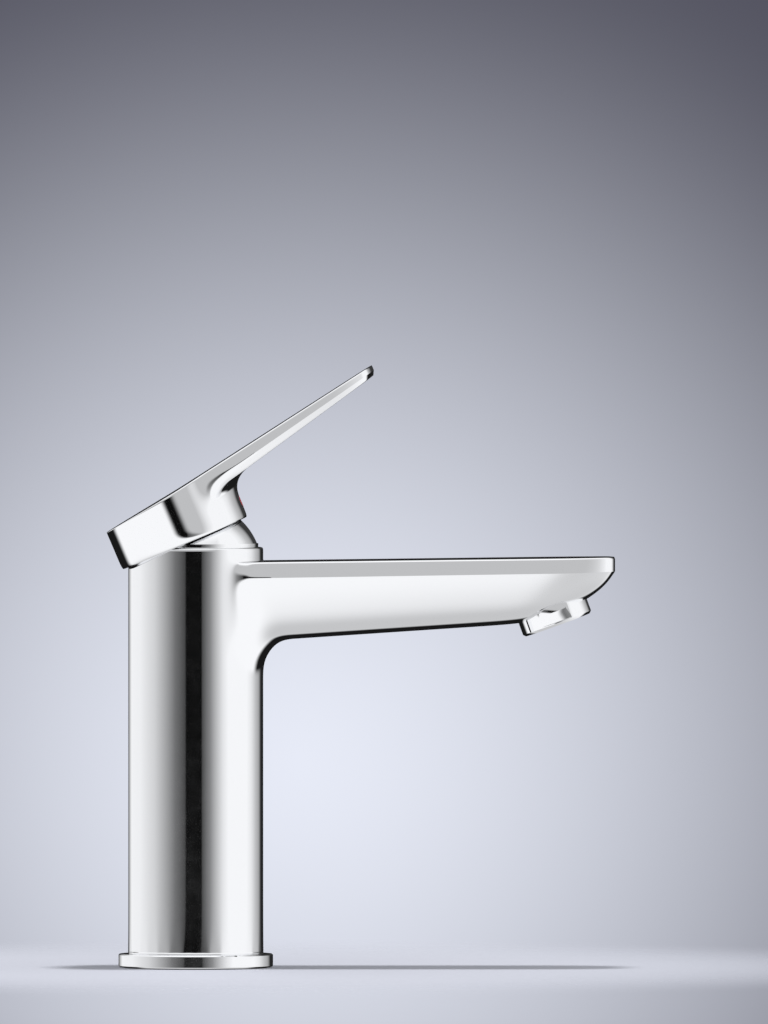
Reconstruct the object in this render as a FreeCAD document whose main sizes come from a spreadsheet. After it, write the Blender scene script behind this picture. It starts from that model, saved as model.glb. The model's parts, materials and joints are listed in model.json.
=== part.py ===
import FreeCAD, Part
import math
import os
import re
import Sketcher

V = FreeCAD.Vector

# A single-lever basin mixer. +Z is up, +X is the way the spout points, and the origin is the
# centre of the base on the counter. The lever's hinge line lies across the column, along Y,
# at pivot_height. All lengths are in millimetres and all angles in degrees.
SIZES = {
    # base ring and its gasket
    "base_flange": 3.2,
    "base_height": 4.5,
    "base_edge": 0.8,
    "base_floor": 1.7,
    "base_step": 4.5,
    "gasket_proud": 0.3,
    "gasket_thickness": 1.2,
    "gasket_inset": 1.7,
    "gasket_width": 4.0,
    # column of the casting
    "column_radius": 22.0,
    "column_wall": 3.5,
    "collar_above_pivot": 7.0,
    "collar_edge": 1.2,
    "pivot_height": 130.2,
    "web_thickness": 14.0,
    # fixing stud boss and the two hose inlets
    "stud_boss_radius": 5.5,
    "stud_boss_height": 18.0,
    "stud_inset": 4.5,
    "stud_thread_radius": 3.4,
    "inlet_apart": 15.0,
    "inlet_forward": -3.0,
    "inlet_thread_radius": 4.5,
    "inlet_thread_depth": 9.0,
    # cartridge chamber
    "chamber_radius": 18.0,
    "seat_drop": 22.0,
    "nut_step": 1.5,
    "nut_bore_depth": 9.5,
    # spout
    "spout_reach": 136.6,
    "spout_shoulder": 4.0,
    "spout_top_drop": 4.9,
    "spout_top_slope": 0.7,
    "band_root": 5.4,
    "band_tip": 4.6,
    "spout_depth": 27.7,
    "underside_slope": 3.8,
    "belly_rise": 4.0,
    "belly_narrowing": 2.5,
    "belly_corner": 8.0,
    "belly_crown": 34.0,
    "root_blend": 12.0,
    "tip_corner": 13.0,
    "nose_run": 21.1,
    "nose_step": 5.0,
    "nose_height": 6.8,
    "nose_round": 16.0,
    "spout_wall": 3.0,
    "cavity_gap": 0.8,
    "cavity_tip_wall": 17.6,
    "cavity_side_wall": 5.5,
    "cavity_lift": 6.5,
    # waterway from the chamber to the spout
    "outlet_forward": 9.0,
    "outlet_radius": 3.5,
    "passage_width": 10.0,
    "passage_height": 4.4,
    "passage_wall": 2.2,
    "passage_slope": 50.9,
    # aerator
    "aerator_inset": 18.7,
    "aerator_drop": 0.23,
    "aerator_tilt": 20.0,
    "aerator_radius": 11.8,
    "aerator_ring_height": 7.6,
    "aerator_height": 12.0,
    "aerator_edge": 0.6,
    "aerator_thread_step": 0.8,
    "aerator_wall": 1.4,
    "flat_depth": 1.05,
    "flat_height": 3.4,
    "washer_thickness": 1.4,
    "insert_inset": 0.9,
    "insert_height": 2.6,
    "screen_thickness": 0.5,
    "jet_radius": 0.75,
    "jet_ring_radius": 3.2,
    # lever, drawn closed, with the hinge line as its origin
    "lever_lift": 23.0,
    "hub_overhang": 0.2,
    "hub_lip": 8.9,
    "hub_gap": 1.15,
    "hub_back_height": 22.2,
    "hub_break_forward": 4.0,
    "hub_break_height": 25.3,
    "lever_reach": 78.8,
    "lever_tip_height": 38.6,
    "blade_tip_thickness": 3.35,
    "blade_root_height": 22.2,
    "blade_root_inset": 1.7,
    "blade_tip_half_width": 12.5,
    "blade_tip_corner": 9.0,
    "boss_radius": 7.5,
    "boss_start": 12.0,
    "boss_bite": 0.15,
    # stem
    "stem_lean": 11.5,
    "stem_radius": 3.9,
    "stem_top": 22.0,
    "stem_arm": 8.0,
    "stem_ball_radius": 2.4,
    "stem_neck_radius": 1.5,
    "screw_height": 19.4,
    "screw_radius": 2.0,
    "screw_length": 3.8,
    "screw_socket_radius": 1.0,
    "plug_radius": 2.9,
    "plug_length": 2.7,
    "plug_recess": 1.2,
    "mark_thickness": 0.6,
    # cartridge
    "cartridge_wall": 1.8,
    "cartridge_base_height": 5.0,
    "cartridge_shoulder_drop": 2.0,
    "neck_step": 2.1,
    "neck_wall": 2.8,
    "neck_rise": 3.0,
    "roof_thickness": 1.7,
    "rotor_rise": 5.0,
    "rotor_flange_height": 1.8,
    "rotor_slot_length": 12.4,
    "pin_radius": 1.5,
    "pin_inset": 1.0,
    "guide_ring_radius": 0.6,
    "guide_ring_rise": 2.2,
    "disc_inset": 2.8,
    "disc_thickness": 3.0,
    "moving_disc_radius": 10.5,
    "mixing_pocket_depth": 1.5,
    "mixing_pocket_radius": 7.5,
    "port_radius": 3.0,
    "seal_width": 1.6,
    "seal_height": 1.5,
    "nut_height": 5.0,
    "stop_ring_height": 2.0,
    # dome over the cartridge
    "dome_inset": 0.4,
    "dome_wall": 1.2,
    "dome_opening": 12.5,
    "skirt_gap": 0.5,
    "skirt_wall": 1.6,
    "skirt_depth": 3.7,
    "dome_ring_radius": 0.6,
    # clearances between pieces that fit together
    "ring_clearance": 0.1,
    "cartridge_clearance": 0.4,
    "running_clearance": 0.05,
    "turning_clearance": 0.2,
    "slot_clearance": 0.15,
    "ball_clearance": 0.1,
    "film": 0.02,
    "thread_clearance": 0.1,
    "seal_clearance": 0.05,
}

doc = FreeCAD.newDocument("basin_mixer")
sizes = doc.addObject("Spreadsheet::Sheet", "sizes")
for row, (alias, value) in enumerate(SIZES.items(), start=1):
    sizes.set(f"A{row}", str(value))
    sizes.setAlias(f"A{row}", alias)
doc.recompute()

# Heights and places that several pieces share, each an expression over the sheet.
BASE_RADIUS = "(column_radius + base_flange)"
BASE_HOLE = "(column_radius - base_step)"
GASKET_OUTER = f"({BASE_RADIUS} - gasket_inset)"
GASKET_INNER = f"({GASKET_OUTER} - gasket_width)"
BOTTOM = "(gasket_proud + base_floor)"
COLUMN_BORE = "(column_radius - column_wall)"
STUD_BACK = f"({COLUMN_BORE} - stud_inset)"
NUT_BORE = "(chamber_radius + nut_step)"
COLLAR = "(pivot_height + collar_above_pivot)"
SEAT = "(pivot_height - seat_drop)"
WEB = f"({SEAT} - web_thickness)"
INLET_LEFT = ("inlet_forward", "inlet_apart / 2")
INLET_RIGHT = ("inlet_forward", "-inlet_apart / 2")
OUTLET = ("outlet_forward", "0")
SPOUT_TOP = f"({COLLAR} - spout_top_drop)"
SPOUT_BOTTOM = f"({SPOUT_TOP} - spout_depth)"
HALF_WIDTH = "(column_radius - spout_shoulder)"
CAVITY_START = "(column_radius + cavity_gap)"
CAVITY_END = "(spout_reach - cavity_tip_wall)"
AERATOR_FORWARD = "(spout_reach - aerator_inset)"
AERATOR_FACE = (f"({SPOUT_BOTTOM} + {AERATOR_FORWARD} * tan(underside_slope)"
                " - aerator_drop)")
AERATOR_THREAD = "(aerator_radius - aerator_thread_step)"
AERATOR_BORE = f"({AERATOR_THREAD} - aerator_wall)"
SHOULDER = "(pivot_height - cartridge_shoulder_drop)"
CARTRIDGE_RADIUS = "(chamber_radius - cartridge_clearance)"
HOUSING_BORE = f"({CARTRIDGE_RADIUS} - cartridge_wall)"
NECK = f"({CARTRIDGE_RADIUS} - neck_step)"
ROTOR = f"({NECK} - neck_wall - turning_clearance)"
DOME = "(column_radius - dome_inset)"
SKIRT = f"({NUT_BORE} - skirt_gap)"
HUB = "(column_radius + hub_overhang)"
HUB_HOLLOW = "(column_radius + hub_gap)"
ROOF = f"({SHOULDER} - roof_thickness)"
DISC_BOTTOM = f"({SEAT} + cartridge_base_height)"
SLIDER_BOTTOM = f"({DISC_BOTTOM} + disc_thickness + film)"
CARRIER_BOTTOM = f"({SLIDER_BOTTOM} + disc_thickness)"
DISC = f"({HOUSING_BORE} - disc_inset)"
BLADE_ROOT = f"({HUB} - blade_root_inset)"
PIN_LENGTH = f"(2 * ({ROTOR} - pin_inset))"
CAVITY_WIDTH = f"(2 * ({HALF_WIDTH} - cavity_side_wall))"
ROTOR_BOTTOM = f"({ROOF} - turning_clearance - rotor_flange_height)"
SLIDE_OPEN = "(stem_arm * sin(stem_lean))"
STEM_SLOT = "(stem_radius + slot_clearance)"
SKIRT_BOTTOM = f"({COLLAR} - skirt_depth)"


def spelled(expression):
    """The expression with each size written as the sheet's own cell."""
    return re.sub(
        r"[a-z_]+",
        lambda word: f"sizes.{word[0]}" if word[0] in SIZES else word[0],
        expression,
    )


def number(expression):
    """What an expression over the sheet comes to now."""
    return float(sizes.evalExpression(spelled(expression)))


def bind(thing, path, expression):
    """Tie a property of a document object to the sheet."""
    thing.setExpression(path, spelled(expression))


# ---------------------------------------------------------------- sketches and features

def new_body(label):
    body = doc.addObject("PartDesign::Body", label)
    body.Label = label
    return body


def sketch(body, plane, offset="0", at=("0", "0"), turn="0"):
    """A sketch on one of the body's own planes, lifted by offset, shifted to at and turned
    counterclockwise in its plane by turn degrees."""
    support = [item for item in body.Origin.OriginFeatures if item.Role == plane + "_Plane"][0]
    drawn = body.newObject("Sketcher::SketchObject", body.Label + "_sketch")
    drawn.AttachmentSupport = [(support, "")]
    drawn.MapMode = "FlatFace"
    place = FreeCAD.Placement(V(number(at[0]), number(at[1]), number(offset)),
                              FreeCAD.Rotation(V(0, 0, 1), number(turn)))
    drawn.AttachmentOffset = place
    bind(drawn, "AttachmentOffset.Base.x", at[0])
    bind(drawn, "AttachmentOffset.Base.y", at[1])
    bind(drawn, "AttachmentOffset.Base.z", offset)
    if number(turn):
        bind(drawn, "AttachmentOffset.Rotation.Angle", turn)
    return drawn


def pin_down(drawn, item, point, x, y):
    """Hold a point of the sketch at expressions x and y from the sketch's origin."""
    for kind, where in (("DistanceX", x), ("DistanceY", y)):
        rule = Sketcher.Constraint(kind, -1, 1, item, point, number(where))
        index = drawn.addConstraint(rule)
        bind(drawn, f"Constraints[{index}]", where)


def circle(drawn, x, y, radius):
    ring = Part.Circle(V(number(x), number(y), 0), V(0, 0, 1), number(radius))
    item = drawn.addGeometry(ring, False)
    index = drawn.addConstraint(Sketcher.Constraint("Radius", item, number(radius)))
    bind(drawn, f"Constraints[{index}]", radius)
    pin_down(drawn, item, 3, x, y)


def rounding(before, here, after, radius):
    """Where a rounded corner starts and stops, its centre, and whether it turns left."""
    back = (before - here).normalize()
    ahead = (after - here).normalize()
    half = back.getAngle(ahead) / 2
    reach = radius / math.tan(half)
    bisector = (back + ahead).normalize()
    centre = here + bisector * (radius / math.sin(half))
    return here + back * reach, here + ahead * reach, centre, back.cross(ahead).z < 0


def outline(drawn, corners):
    """A closed outline through corners, each (x, y) or (x, y, rounding radius)."""
    spots = [V(number(corner[0]), number(corner[1]), 0) for corner in corners]
    count = len(spots)
    ends = []
    for index, corner in enumerate(corners):
        if len(corner) == 2:
            ends.append((spots[index], spots[index], None, None))
            continue
        before, after = spots[index - 1], spots[(index + 1) % count]
        ends.append(rounding(before, spots[index], after, number(corner[2])))
    sides = []
    for index in range(count):
        side = Part.LineSegment(ends[index][1], ends[(index + 1) % count][0])
        sides.append(drawn.addGeometry(side, False))
    for index, corner in enumerate(corners):
        before, after = sides[index - 1], sides[index]
        start, stop, centre, left = ends[index]
        if centre is None:
            drawn.addConstraint(Sketcher.Constraint("Coincident", before, 2, after, 1))
            pin_down(drawn, after, 1, corner[0], corner[1])
            continue
        first, last = (start, stop) if left else (stop, start)
        angles = [math.atan2(end.y - centre.y, end.x - centre.x) for end in (first, last)]
        if angles[1] < angles[0]:
            angles[1] += 2 * math.pi
        curve = Part.ArcOfCircle(Part.Circle(centre, V(0, 0, 1), number(corner[2])), *angles)
        arc = drawn.addGeometry(curve, False)
        mark = drawn.addGeometry(Part.Point(spots[index]), True)
        enter, leave = (1, 2) if left else (2, 1)
        drawn.addConstraint(Sketcher.Constraint("Tangent", before, 2, arc, enter))
        drawn.addConstraint(Sketcher.Constraint("Tangent", arc, leave, after, 1))
        drawn.addConstraint(Sketcher.Constraint("PointOnObject", mark, 1, before))
        drawn.addConstraint(Sketcher.Constraint("PointOnObject", mark, 1, after))
        rule = drawn.addConstraint(Sketcher.Constraint("Radius", arc, number(corner[2])))
        bind(drawn, f"Constraints[{rule}]", corner[2])
        pin_down(drawn, mark, 1, corner[0], corner[1])
    return drawn


def feature(body, kind, drawn):
    made = body.newObject("PartDesign::" + kind, f"{body.Label}_{kind.lower()}")
    made.Profile = drawn
    body.Tip = made
    return made


def extrude(body, drawn, length, cut=False, both=False, up=True):
    """Pad the sketch, or pocket it; up is along the sketch's normal."""
    made = feature(body, "Pocket" if cut else "Pad", drawn)
    bind(made, "Length", length)
    made.Midplane = both
    made.Reversed = up if cut else not up
    return made


def turn(body, drawn, cut=False, axis="V_Axis"):
    """Revolve the sketch a full turn about one of its own axes."""
    made = feature(body, "Groove" if cut else "Revolution", drawn)
    made.ReferenceAxis = (drawn, [axis])
    made.Angle = 360
    return made


def loft(body, drawings, cut=False):
    made = feature(body, "SubtractiveLoft" if cut else "AdditiveLoft", drawings[0])
    made.Sections = drawings[1:]
    made.Ruled = True
    return made


def dress(body, kind, size_name, size, wanted):
    """Fillet or chamfer the edges of the body's solid for which wanted(edge) is true."""
    doc.recompute()
    solid = body.Tip
    names = [f"Edge{index}" for index, edge in enumerate(solid.Shape.Edges, start=1)
             if wanted(edge)]
    made = body.newObject("PartDesign::" + kind, f"{body.Label}_{kind.lower()}")
    made.Base = (solid, names)
    bind(made, size_name, size)
    body.Tip = made
    return made


def ring(label, corners, at=("0", "0"), lean="0"):
    """A body turned from an outline of (radius, height) corners about an upright axis, or
    about one through at = (forward, height) that leans back by lean degrees."""
    body = new_body(label)
    turn(body, outline(sketch(body, "XZ", at=at, turn=lean), corners))
    return body


def drill(body, at, radius, floor, depth):
    """A round upright hole that starts at the height floor and goes up by depth."""
    drawn = sketch(body, "XY", offset=floor)
    circle(drawn, at[0], at[1], radius)
    return extrude(body, drawn, depth, cut=True)


def disc(label, radius, floor, height, at=("0", "0")):
    body = new_body(label)
    drawn = sketch(body, "XY", offset=floor)
    circle(drawn, at[0], at[1], radius)
    extrude(body, drawn, height)
    return body


def on_lever(body):
    """Carry a body that was drawn about the hinge line, lever closed, to the open lever."""
    body.Placement = FreeCAD.Placement(V(0, 0, number("pivot_height")),
                                       FreeCAD.Rotation(V(0, -1, 0), number("lever_lift")))
    bind(body, "Placement.Base.z", "pivot_height")
    bind(body, "Placement.Rotation.Angle", "lever_lift")
    return body


# ---------------------------------------------------------------- base

def base_ring():
    """Chrome ring that the column stands in, with a groove below for the gasket."""
    bore = "column_radius + ring_clearance"
    groove_top = "gasket_thickness"
    return ring("base_ring", [
        (BASE_HOLE, "gasket_proud"),
        (GASKET_INNER, "gasket_proud"),
        (GASKET_INNER, groove_top),
        (GASKET_OUTER, groove_top),
        (GASKET_OUTER, "gasket_proud"),
        (BASE_RADIUS, "gasket_proud"),
        (BASE_RADIUS, "base_height", "base_edge"),
        (bore, "base_height"),
        (bore, BOTTOM),
        (BASE_HOLE, BOTTOM),
    ])


def base_gasket():
    return ring("base_gasket", [
        (GASKET_INNER, "0"),
        (GASKET_OUTER, "0"),
        (GASKET_OUTER, "gasket_thickness"),
        (GASKET_INNER, "gasket_thickness"),
    ])


# ---------------------------------------------------------------- casting

def spout_section(body, forward, band):
    """The spout's section at a distance forward: a flat top, upright bands and a belly."""
    top = f"{SPOUT_TOP} + {forward} * tan(spout_top_slope)"
    crease = f"{top} - {band}"
    floor = f"{SPOUT_BOTTOM} + {forward} * tan(underside_slope)"
    side = HALF_WIDTH
    low = f"{HALF_WIDTH} - belly_narrowing"
    return outline(sketch(body, "YZ", offset=forward), [
        (f"-({side})", top),
        (f"-({side})", crease),
        (f"-({low})", f"{floor} + belly_rise", "belly_corner"),
        ("0", floor, "belly_crown"),
        (low, f"{floor} + belly_rise", "belly_corner"),
        (side, crease),
        (side, top),
    ])


def tip_trim(body):
    """Round the tip's corners in plan and sweep the belly up to the tip."""
    outside = f"{HALF_WIDTH} + tip_corner"
    beyond = "spout_reach + tip_corner"
    start = "spout_reach - tip_corner - film"
    plan = sketch(body, "XY", offset=SPOUT_BOTTOM)
    outline(plan, [
        (start, f"-({outside})"),
        (beyond, f"-({outside})"),
        (beyond, outside),
        (start, outside),
        (start, HALF_WIDTH),
        ("spout_reach", HALF_WIDTH, "tip_corner"),
        ("spout_reach", f"-{HALF_WIDTH}", "tip_corner"),
        (start, f"-{HALF_WIDTH}"),
    ])
    extrude(body, plan, "spout_depth + tip_corner", cut=True)
    nose_top = f"{SPOUT_TOP} + spout_reach * tan(spout_top_slope) - band_tip"
    nose_start = "spout_reach - nose_run"
    nose_floor = f"{SPOUT_BOTTOM} + ({nose_start}) * tan(underside_slope)"
    below = f"{SPOUT_BOTTOM} - tip_corner"
    nose = sketch(body, "XZ")
    outline(nose, [
        (nose_start, below),
        (beyond, below),
        (beyond, nose_top),
        ("spout_reach", nose_top),
        ("spout_reach - nose_step", f"{nose_top} - nose_height", "nose_round"),
        (nose_start, nose_floor),
    ])
    extrude(body, nose, f"2 * ({outside})", cut=True, both=True)


def waterways(body):
    """The passage from the cartridge seat up in front of the chamber, and the spout's hollow."""
    inner_x = "(chamber_radius + passage_wall * sin(passage_slope))"
    inner_z = f"({SEAT} - passage_wall * cos(passage_slope))"
    outer_x = f"({inner_x} + passage_height * sin(passage_slope))"
    outer_z = f"({inner_z} - passage_height * cos(passage_slope))"
    floor = f"({WEB} + outlet_radius)"
    roof = f"({floor} + passage_height)"
    top = f"({SPOUT_BOTTOM} + cavity_lift + passage_height)"
    passage = sketch(body, "XZ")
    outline(passage, [
        ("outlet_forward - outlet_radius", floor),
        (f"{outer_x} + ({floor} - {outer_z}) / tan(passage_slope)", floor),
        (f"{outer_x} + ({top} - {outer_z}) / tan(passage_slope)", top),
        (f"{inner_x} + ({top} - {inner_z}) / tan(passage_slope)", top),
        (f"{inner_x} + ({roof} - {inner_z}) / tan(passage_slope)", roof),
        ("outlet_forward - outlet_radius", roof),
    ])
    extrude(body, passage, "passage_width", cut=True, both=True)
    drill(body, OUTLET, "outlet_radius", floor, f"{SEAT} - {floor}")
    hollow = sketch(body, "XZ")
    outline(hollow, [
        (CAVITY_START, f"{SPOUT_BOTTOM} + {CAVITY_START} * tan(underside_slope) + cavity_lift"),
        (CAVITY_END, f"{SPOUT_BOTTOM} + {CAVITY_END} * tan(underside_slope) + cavity_lift"),
        (CAVITY_END, f"{SPOUT_TOP} + {CAVITY_END} * tan(spout_top_slope) - spout_wall"),
        (CAVITY_START, f"{SPOUT_TOP} + {CAVITY_START} * tan(spout_top_slope) - spout_wall"),
    ])
    extrude(body, hollow, CAVITY_WIDTH, cut=True, both=True)
    port = sketch(body, "XZ", at=(AERATOR_FORWARD, AERATOR_FACE), turn="aerator_tilt")
    ring_bore = "aerator_radius + ring_clearance"
    thread_bore = f"{AERATOR_THREAD} + thread_clearance"
    outline(port, [
        ("0", "-aerator_radius"),
        (ring_bore, "-aerator_radius"),
        (ring_bore, "aerator_ring_height"),
        (thread_bore, "aerator_ring_height"),
        (thread_bore, "aerator_height + washer_thickness"),
        ("0", "aerator_height + washer_thickness"),
    ])
    turn(body, port, cut=True)


def body_casting():
    """Brass casting: column, spout, cartridge chamber and waterways in one piece."""
    body = ring("body_casting", [
        ("0", BOTTOM),
        ("column_radius", BOTTOM),
        ("column_radius", COLLAR, "collar_edge"),
        ("0", COLLAR),
    ])
    loft(body, [spout_section(body, "0", "band_root"),
                spout_section(body, "spout_reach", "band_tip")])
    skin = number("column_radius")
    hair = number("film")
    low, high = number(SPOUT_BOTTOM), number(f"{SPOUT_TOP} - film")

    def at_root(edge):
        box = edge.BoundBox
        middle = edge.valueAt((edge.FirstParameter + edge.LastParameter) / 2)
        on_column = abs(math.hypot(middle.x, middle.y) - skin) < hair
        return on_column and 0 < box.XMin and low < box.ZMin < high

    dress(body, "Fillet", "Radius", "root_blend", at_root)
    tip_trim(body)
    drill(body, ("0", "0"), COLUMN_BORE, BOTTOM, f"{WEB} - {BOTTOM}")
    boss = sketch(body, "XY", offset=BOTTOM)
    circle(boss, f"-{STUD_BACK}", "0", "stud_boss_radius")
    extrude(body, boss, "stud_boss_height")
    drill(body, (f"-{STUD_BACK}", "0"), "stud_thread_radius", BOTTOM, "stud_boss_height")
    for place in (INLET_LEFT, INLET_RIGHT):
        drill(body, place, "inlet_thread_radius", WEB, "inlet_thread_depth")
        drill(body, place, "port_radius", WEB, "web_thickness")
    drill(body, ("0", "0"), "chamber_radius", SEAT, "seat_drop + collar_above_pivot")
    nut_floor = f"{COLLAR} - nut_bore_depth"
    drill(body, ("0", "0"), NUT_BORE, nut_floor, "nut_bore_depth")
    waterways(body)
    return body


# ---------------------------------------------------------------- cartridge

def round_ports(body, floor, depth):
    """The two inlet ports and the outlet port, straight through a plate of the cartridge."""
    for place in (INLET_LEFT, INLET_RIGHT):
        drill(body, place, "port_radius", floor, depth)
    drill(body, OUTLET, "port_radius", floor, depth)


def cartridge_base():
    """Bottom plate of the cartridge, with a recess round each port for its seal."""
    body = disc("cartridge_base", CARTRIDGE_RADIUS, SEAT, "cartridge_base_height")
    round_ports(body, SEAT, "cartridge_base_height")
    for place in (INLET_LEFT, INLET_RIGHT, OUTLET):
        drill(body, place, "port_radius + seal_width", SEAT, "seal_height")


def port_seals():
    """Three rubber rings, one round each port of the cartridge base."""
    body = new_body("port_seals")
    seats = sketch(body, "XY", offset=SEAT)
    for place in (INLET_LEFT, INLET_RIGHT, OUTLET):
        circle(seats, place[0], place[1], "port_radius + seal_width - seal_clearance")
        circle(seats, place[0], place[1], "port_radius")
    extrude(body, seats, "seal_height - seal_clearance")


def cartridge_housing():
    """Shell over the discs, with a shoulder for the nut and a neck for the turning guide."""
    neck_top = "pivot_height + neck_rise"
    neck_bore = f"{ROTOR} + turning_clearance"
    ring("cartridge_housing", [
        (HOUSING_BORE, DISC_BOTTOM),
        (CARTRIDGE_RADIUS, DISC_BOTTOM),
        (CARTRIDGE_RADIUS, SHOULDER),
        (NECK, SHOULDER),
        (NECK, neck_top),
        (neck_bore, neck_top),
        (neck_bore, ROOF),
        (HOUSING_BORE, ROOF),
    ])


def fixed_disc():
    body = disc("fixed_disc", DISC, DISC_BOTTOM, "disc_thickness")
    round_ports(body, DISC_BOTTOM, "disc_thickness")


def moving_disc():
    """Upper ceramic disc, with the pocket below that joins the ports as it slides."""
    slid = (SLIDE_OPEN, "0")
    body = disc("moving_disc", "moving_disc_radius", SLIDER_BOTTOM, "disc_thickness", slid)
    drill(body, slid, "mixing_pocket_radius", SLIDER_BOTTOM, "mixing_pocket_depth")


def disc_carrier():
    """Plastic carrier on the moving disc, with the hole that the stem's ball works in."""
    slid = (SLIDE_OPEN, "0")
    height = f"({ROTOR_BOTTOM} - turning_clearance - {CARRIER_BOTTOM})"
    body = disc("disc_carrier", "moving_disc_radius", CARRIER_BOTTOM, height, slid)
    drill(body, slid, "stem_ball_radius + ball_clearance", CARRIER_BOTTOM, height)


def stem_guide():
    """Turning guide: it carries the hinge pin and lets the stem rock to and fro in its slot."""
    top = "pivot_height + rotor_rise"
    flange_top = f"{ROTOR_BOTTOM} + rotor_flange_height"
    groove = "guide_ring_radius + seal_clearance"
    groove_middle = "(pivot_height + guide_ring_rise)"
    groove_floor = f"{ROTOR} - 2 * ({groove})"
    body = ring("stem_guide", [
        ("0", ROTOR_BOTTOM),
        (f"{HOUSING_BORE} - turning_clearance", ROTOR_BOTTOM),
        (f"{HOUSING_BORE} - turning_clearance", flange_top),
        (ROTOR, flange_top),
        (ROTOR, f"{groove_middle} - ({groove})"),
        (groove_floor, f"{groove_middle} - ({groove})"),
        (groove_floor, f"{groove_middle} + ({groove})"),
        (ROTOR, f"{groove_middle} + ({groove})"),
        (ROTOR, top),
        ("0", top),
    ])
    slot = sketch(body, "XY", offset=ROTOR_BOTTOM)
    end = "rotor_slot_length / 2"
    outline(slot, [
        (f"-{end}", f"-{STEM_SLOT}"),
        (end, f"-{STEM_SLOT}"),
        (end, STEM_SLOT),
        (f"-{end}", STEM_SLOT),
    ])
    extrude(body, slot, f"{top} - {ROTOR_BOTTOM}", cut=True)
    bore = sketch(body, "XZ")
    circle(bore, "0", "pivot_height", "pin_radius")
    extrude(body, bore, f"2 * {ROTOR}", cut=True, both=True)


def pivot_pin():
    body = new_body("pivot_pin")
    pin = sketch(body, "XZ")
    circle(pin, "0", "pivot_height", "pin_radius")
    extrude(body, pin, PIN_LENGTH, both=True)


def o_ring(label, middle_radius, height, radius):
    body = new_body(label)
    drawn = sketch(body, "XZ")
    circle(drawn, middle_radius, height, radius)
    turn(body, drawn)


def retaining_nut():
    """Brass ring screwed into the collar that holds the cartridge down by its shoulder."""
    body = ring("retaining_nut", [
        (f"{NECK} + thread_clearance", SHOULDER),
        (f"{NUT_BORE} - thread_clearance", SHOULDER),
        (f"{NUT_BORE} - thread_clearance", f"{SHOULDER} + nut_height"),
        (f"{NECK} + thread_clearance", f"{SHOULDER} + nut_height"),
    ])
    return body


def stop_ring():
    """Ring on the cartridge's neck that limits how far the lever turns to hot."""
    floor = "(pivot_height + neck_rise)"
    ring("stop_ring", [
        (f"{ROTOR} + 2 * turning_clearance", floor),
        (NECK, floor),
        (NECK, f"{floor} + stop_ring_height"),
        (f"{ROTOR} + 2 * turning_clearance", f"{floor} + stop_ring_height"),
    ])


# ---------------------------------------------------------------- dome

def dome_cover():
    """Chrome dome on the collar, round about the hinge line, with a skirt inside the collar."""
    body = new_body("dome_cover")
    drawn = sketch(body, "XZ", at=("0", "pivot_height"))
    ball = Part.Circle(V(0, 0, 0), V(0, 0, 1), number(DOME))
    base = number("collar_above_pivot")
    opening = number("dome_opening")
    outer_start = math.asin(base / number(DOME))
    outer_end = math.acos(opening / number(DOME))
    inner_radius = number(f"{DOME} - dome_wall")
    inner_start = math.asin(base / inner_radius)
    inner_end = math.acos(opening / inner_radius)
    inner_ball = Part.Circle(V(0, 0, 0), V(0, 0, 1), inner_radius)
    outer = drawn.addGeometry(Part.ArcOfCircle(ball, outer_start, outer_end), False)
    inner = drawn.addGeometry(Part.ArcOfCircle(inner_ball, inner_start, inner_end), False)
    corners = {}
    for name, item, point in (("outer foot", outer, 1), ("outer rim", outer, 2),
                              ("inner foot", inner, 1), ("inner rim", inner, 2)):
        arc = drawn.Geometry[item]
        corners[name] = (item, point, arc.StartPoint if point == 1 else arc.EndPoint)
    for item, size in ((outer, DOME), (inner, f"{DOME} - dome_wall")):
        drawn.addConstraint(Sketcher.Constraint("Coincident", item, 3, -1, 1))
        rule = drawn.addConstraint(Sketcher.Constraint("Radius", item, number(size)))
        bind(drawn, f"Constraints[{rule}]", size)
        foot = Sketcher.Constraint("DistanceY", -1, 1, item, 1, base)
        bind(drawn, f"Constraints[{drawn.addConstraint(foot)}]", "collar_above_pivot")
        rim = Sketcher.Constraint("DistanceX", -1, 1, item, 2, opening)
        bind(drawn, f"Constraints[{drawn.addConstraint(rim)}]", "dome_opening")
    for first, last in (("outer rim", "inner rim"), ("inner foot", "outer foot")):
        side = drawn.addGeometry(Part.LineSegment(corners[first][2], corners[last][2]), False)
        for point, name in ((1, first), (2, last)):
            item, end = corners[name][:2]
            drawn.addConstraint(Sketcher.Constraint("Coincident", side, point, item, end))
    turn(body, drawn)
    groove = "dome_ring_radius + seal_clearance"
    groove_middle = f"({SKIRT_BOTTOM} + skirt_depth / 2)"
    groove_floor = f"{SKIRT} - 2 * ({groove}) + skirt_wall / 3"
    skirt = outline(sketch(body, "XZ"), [
        (f"{SKIRT} - skirt_wall", SKIRT_BOTTOM),
        (SKIRT, SKIRT_BOTTOM),
        (SKIRT, f"{groove_middle} - ({groove})"),
        (groove_floor, f"{groove_middle} - ({groove})"),
        (groove_floor, f"{groove_middle} + ({groove})"),
        (SKIRT, f"{groove_middle} + ({groove})"),
        (SKIRT, COLLAR),
        (f"{DOME} - dome_wall", COLLAR),
        (f"{DOME} - dome_wall", f"{COLLAR} + dome_wall"),
        (f"{SKIRT} - skirt_wall", f"{COLLAR} + dome_wall"),
    ])
    turn(body, skirt)
    return body


# ---------------------------------------------------------------- aerator

AERATOR = {"at": (AERATOR_FORWARD, AERATOR_FACE), "lean": "aerator_tilt"}


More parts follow.
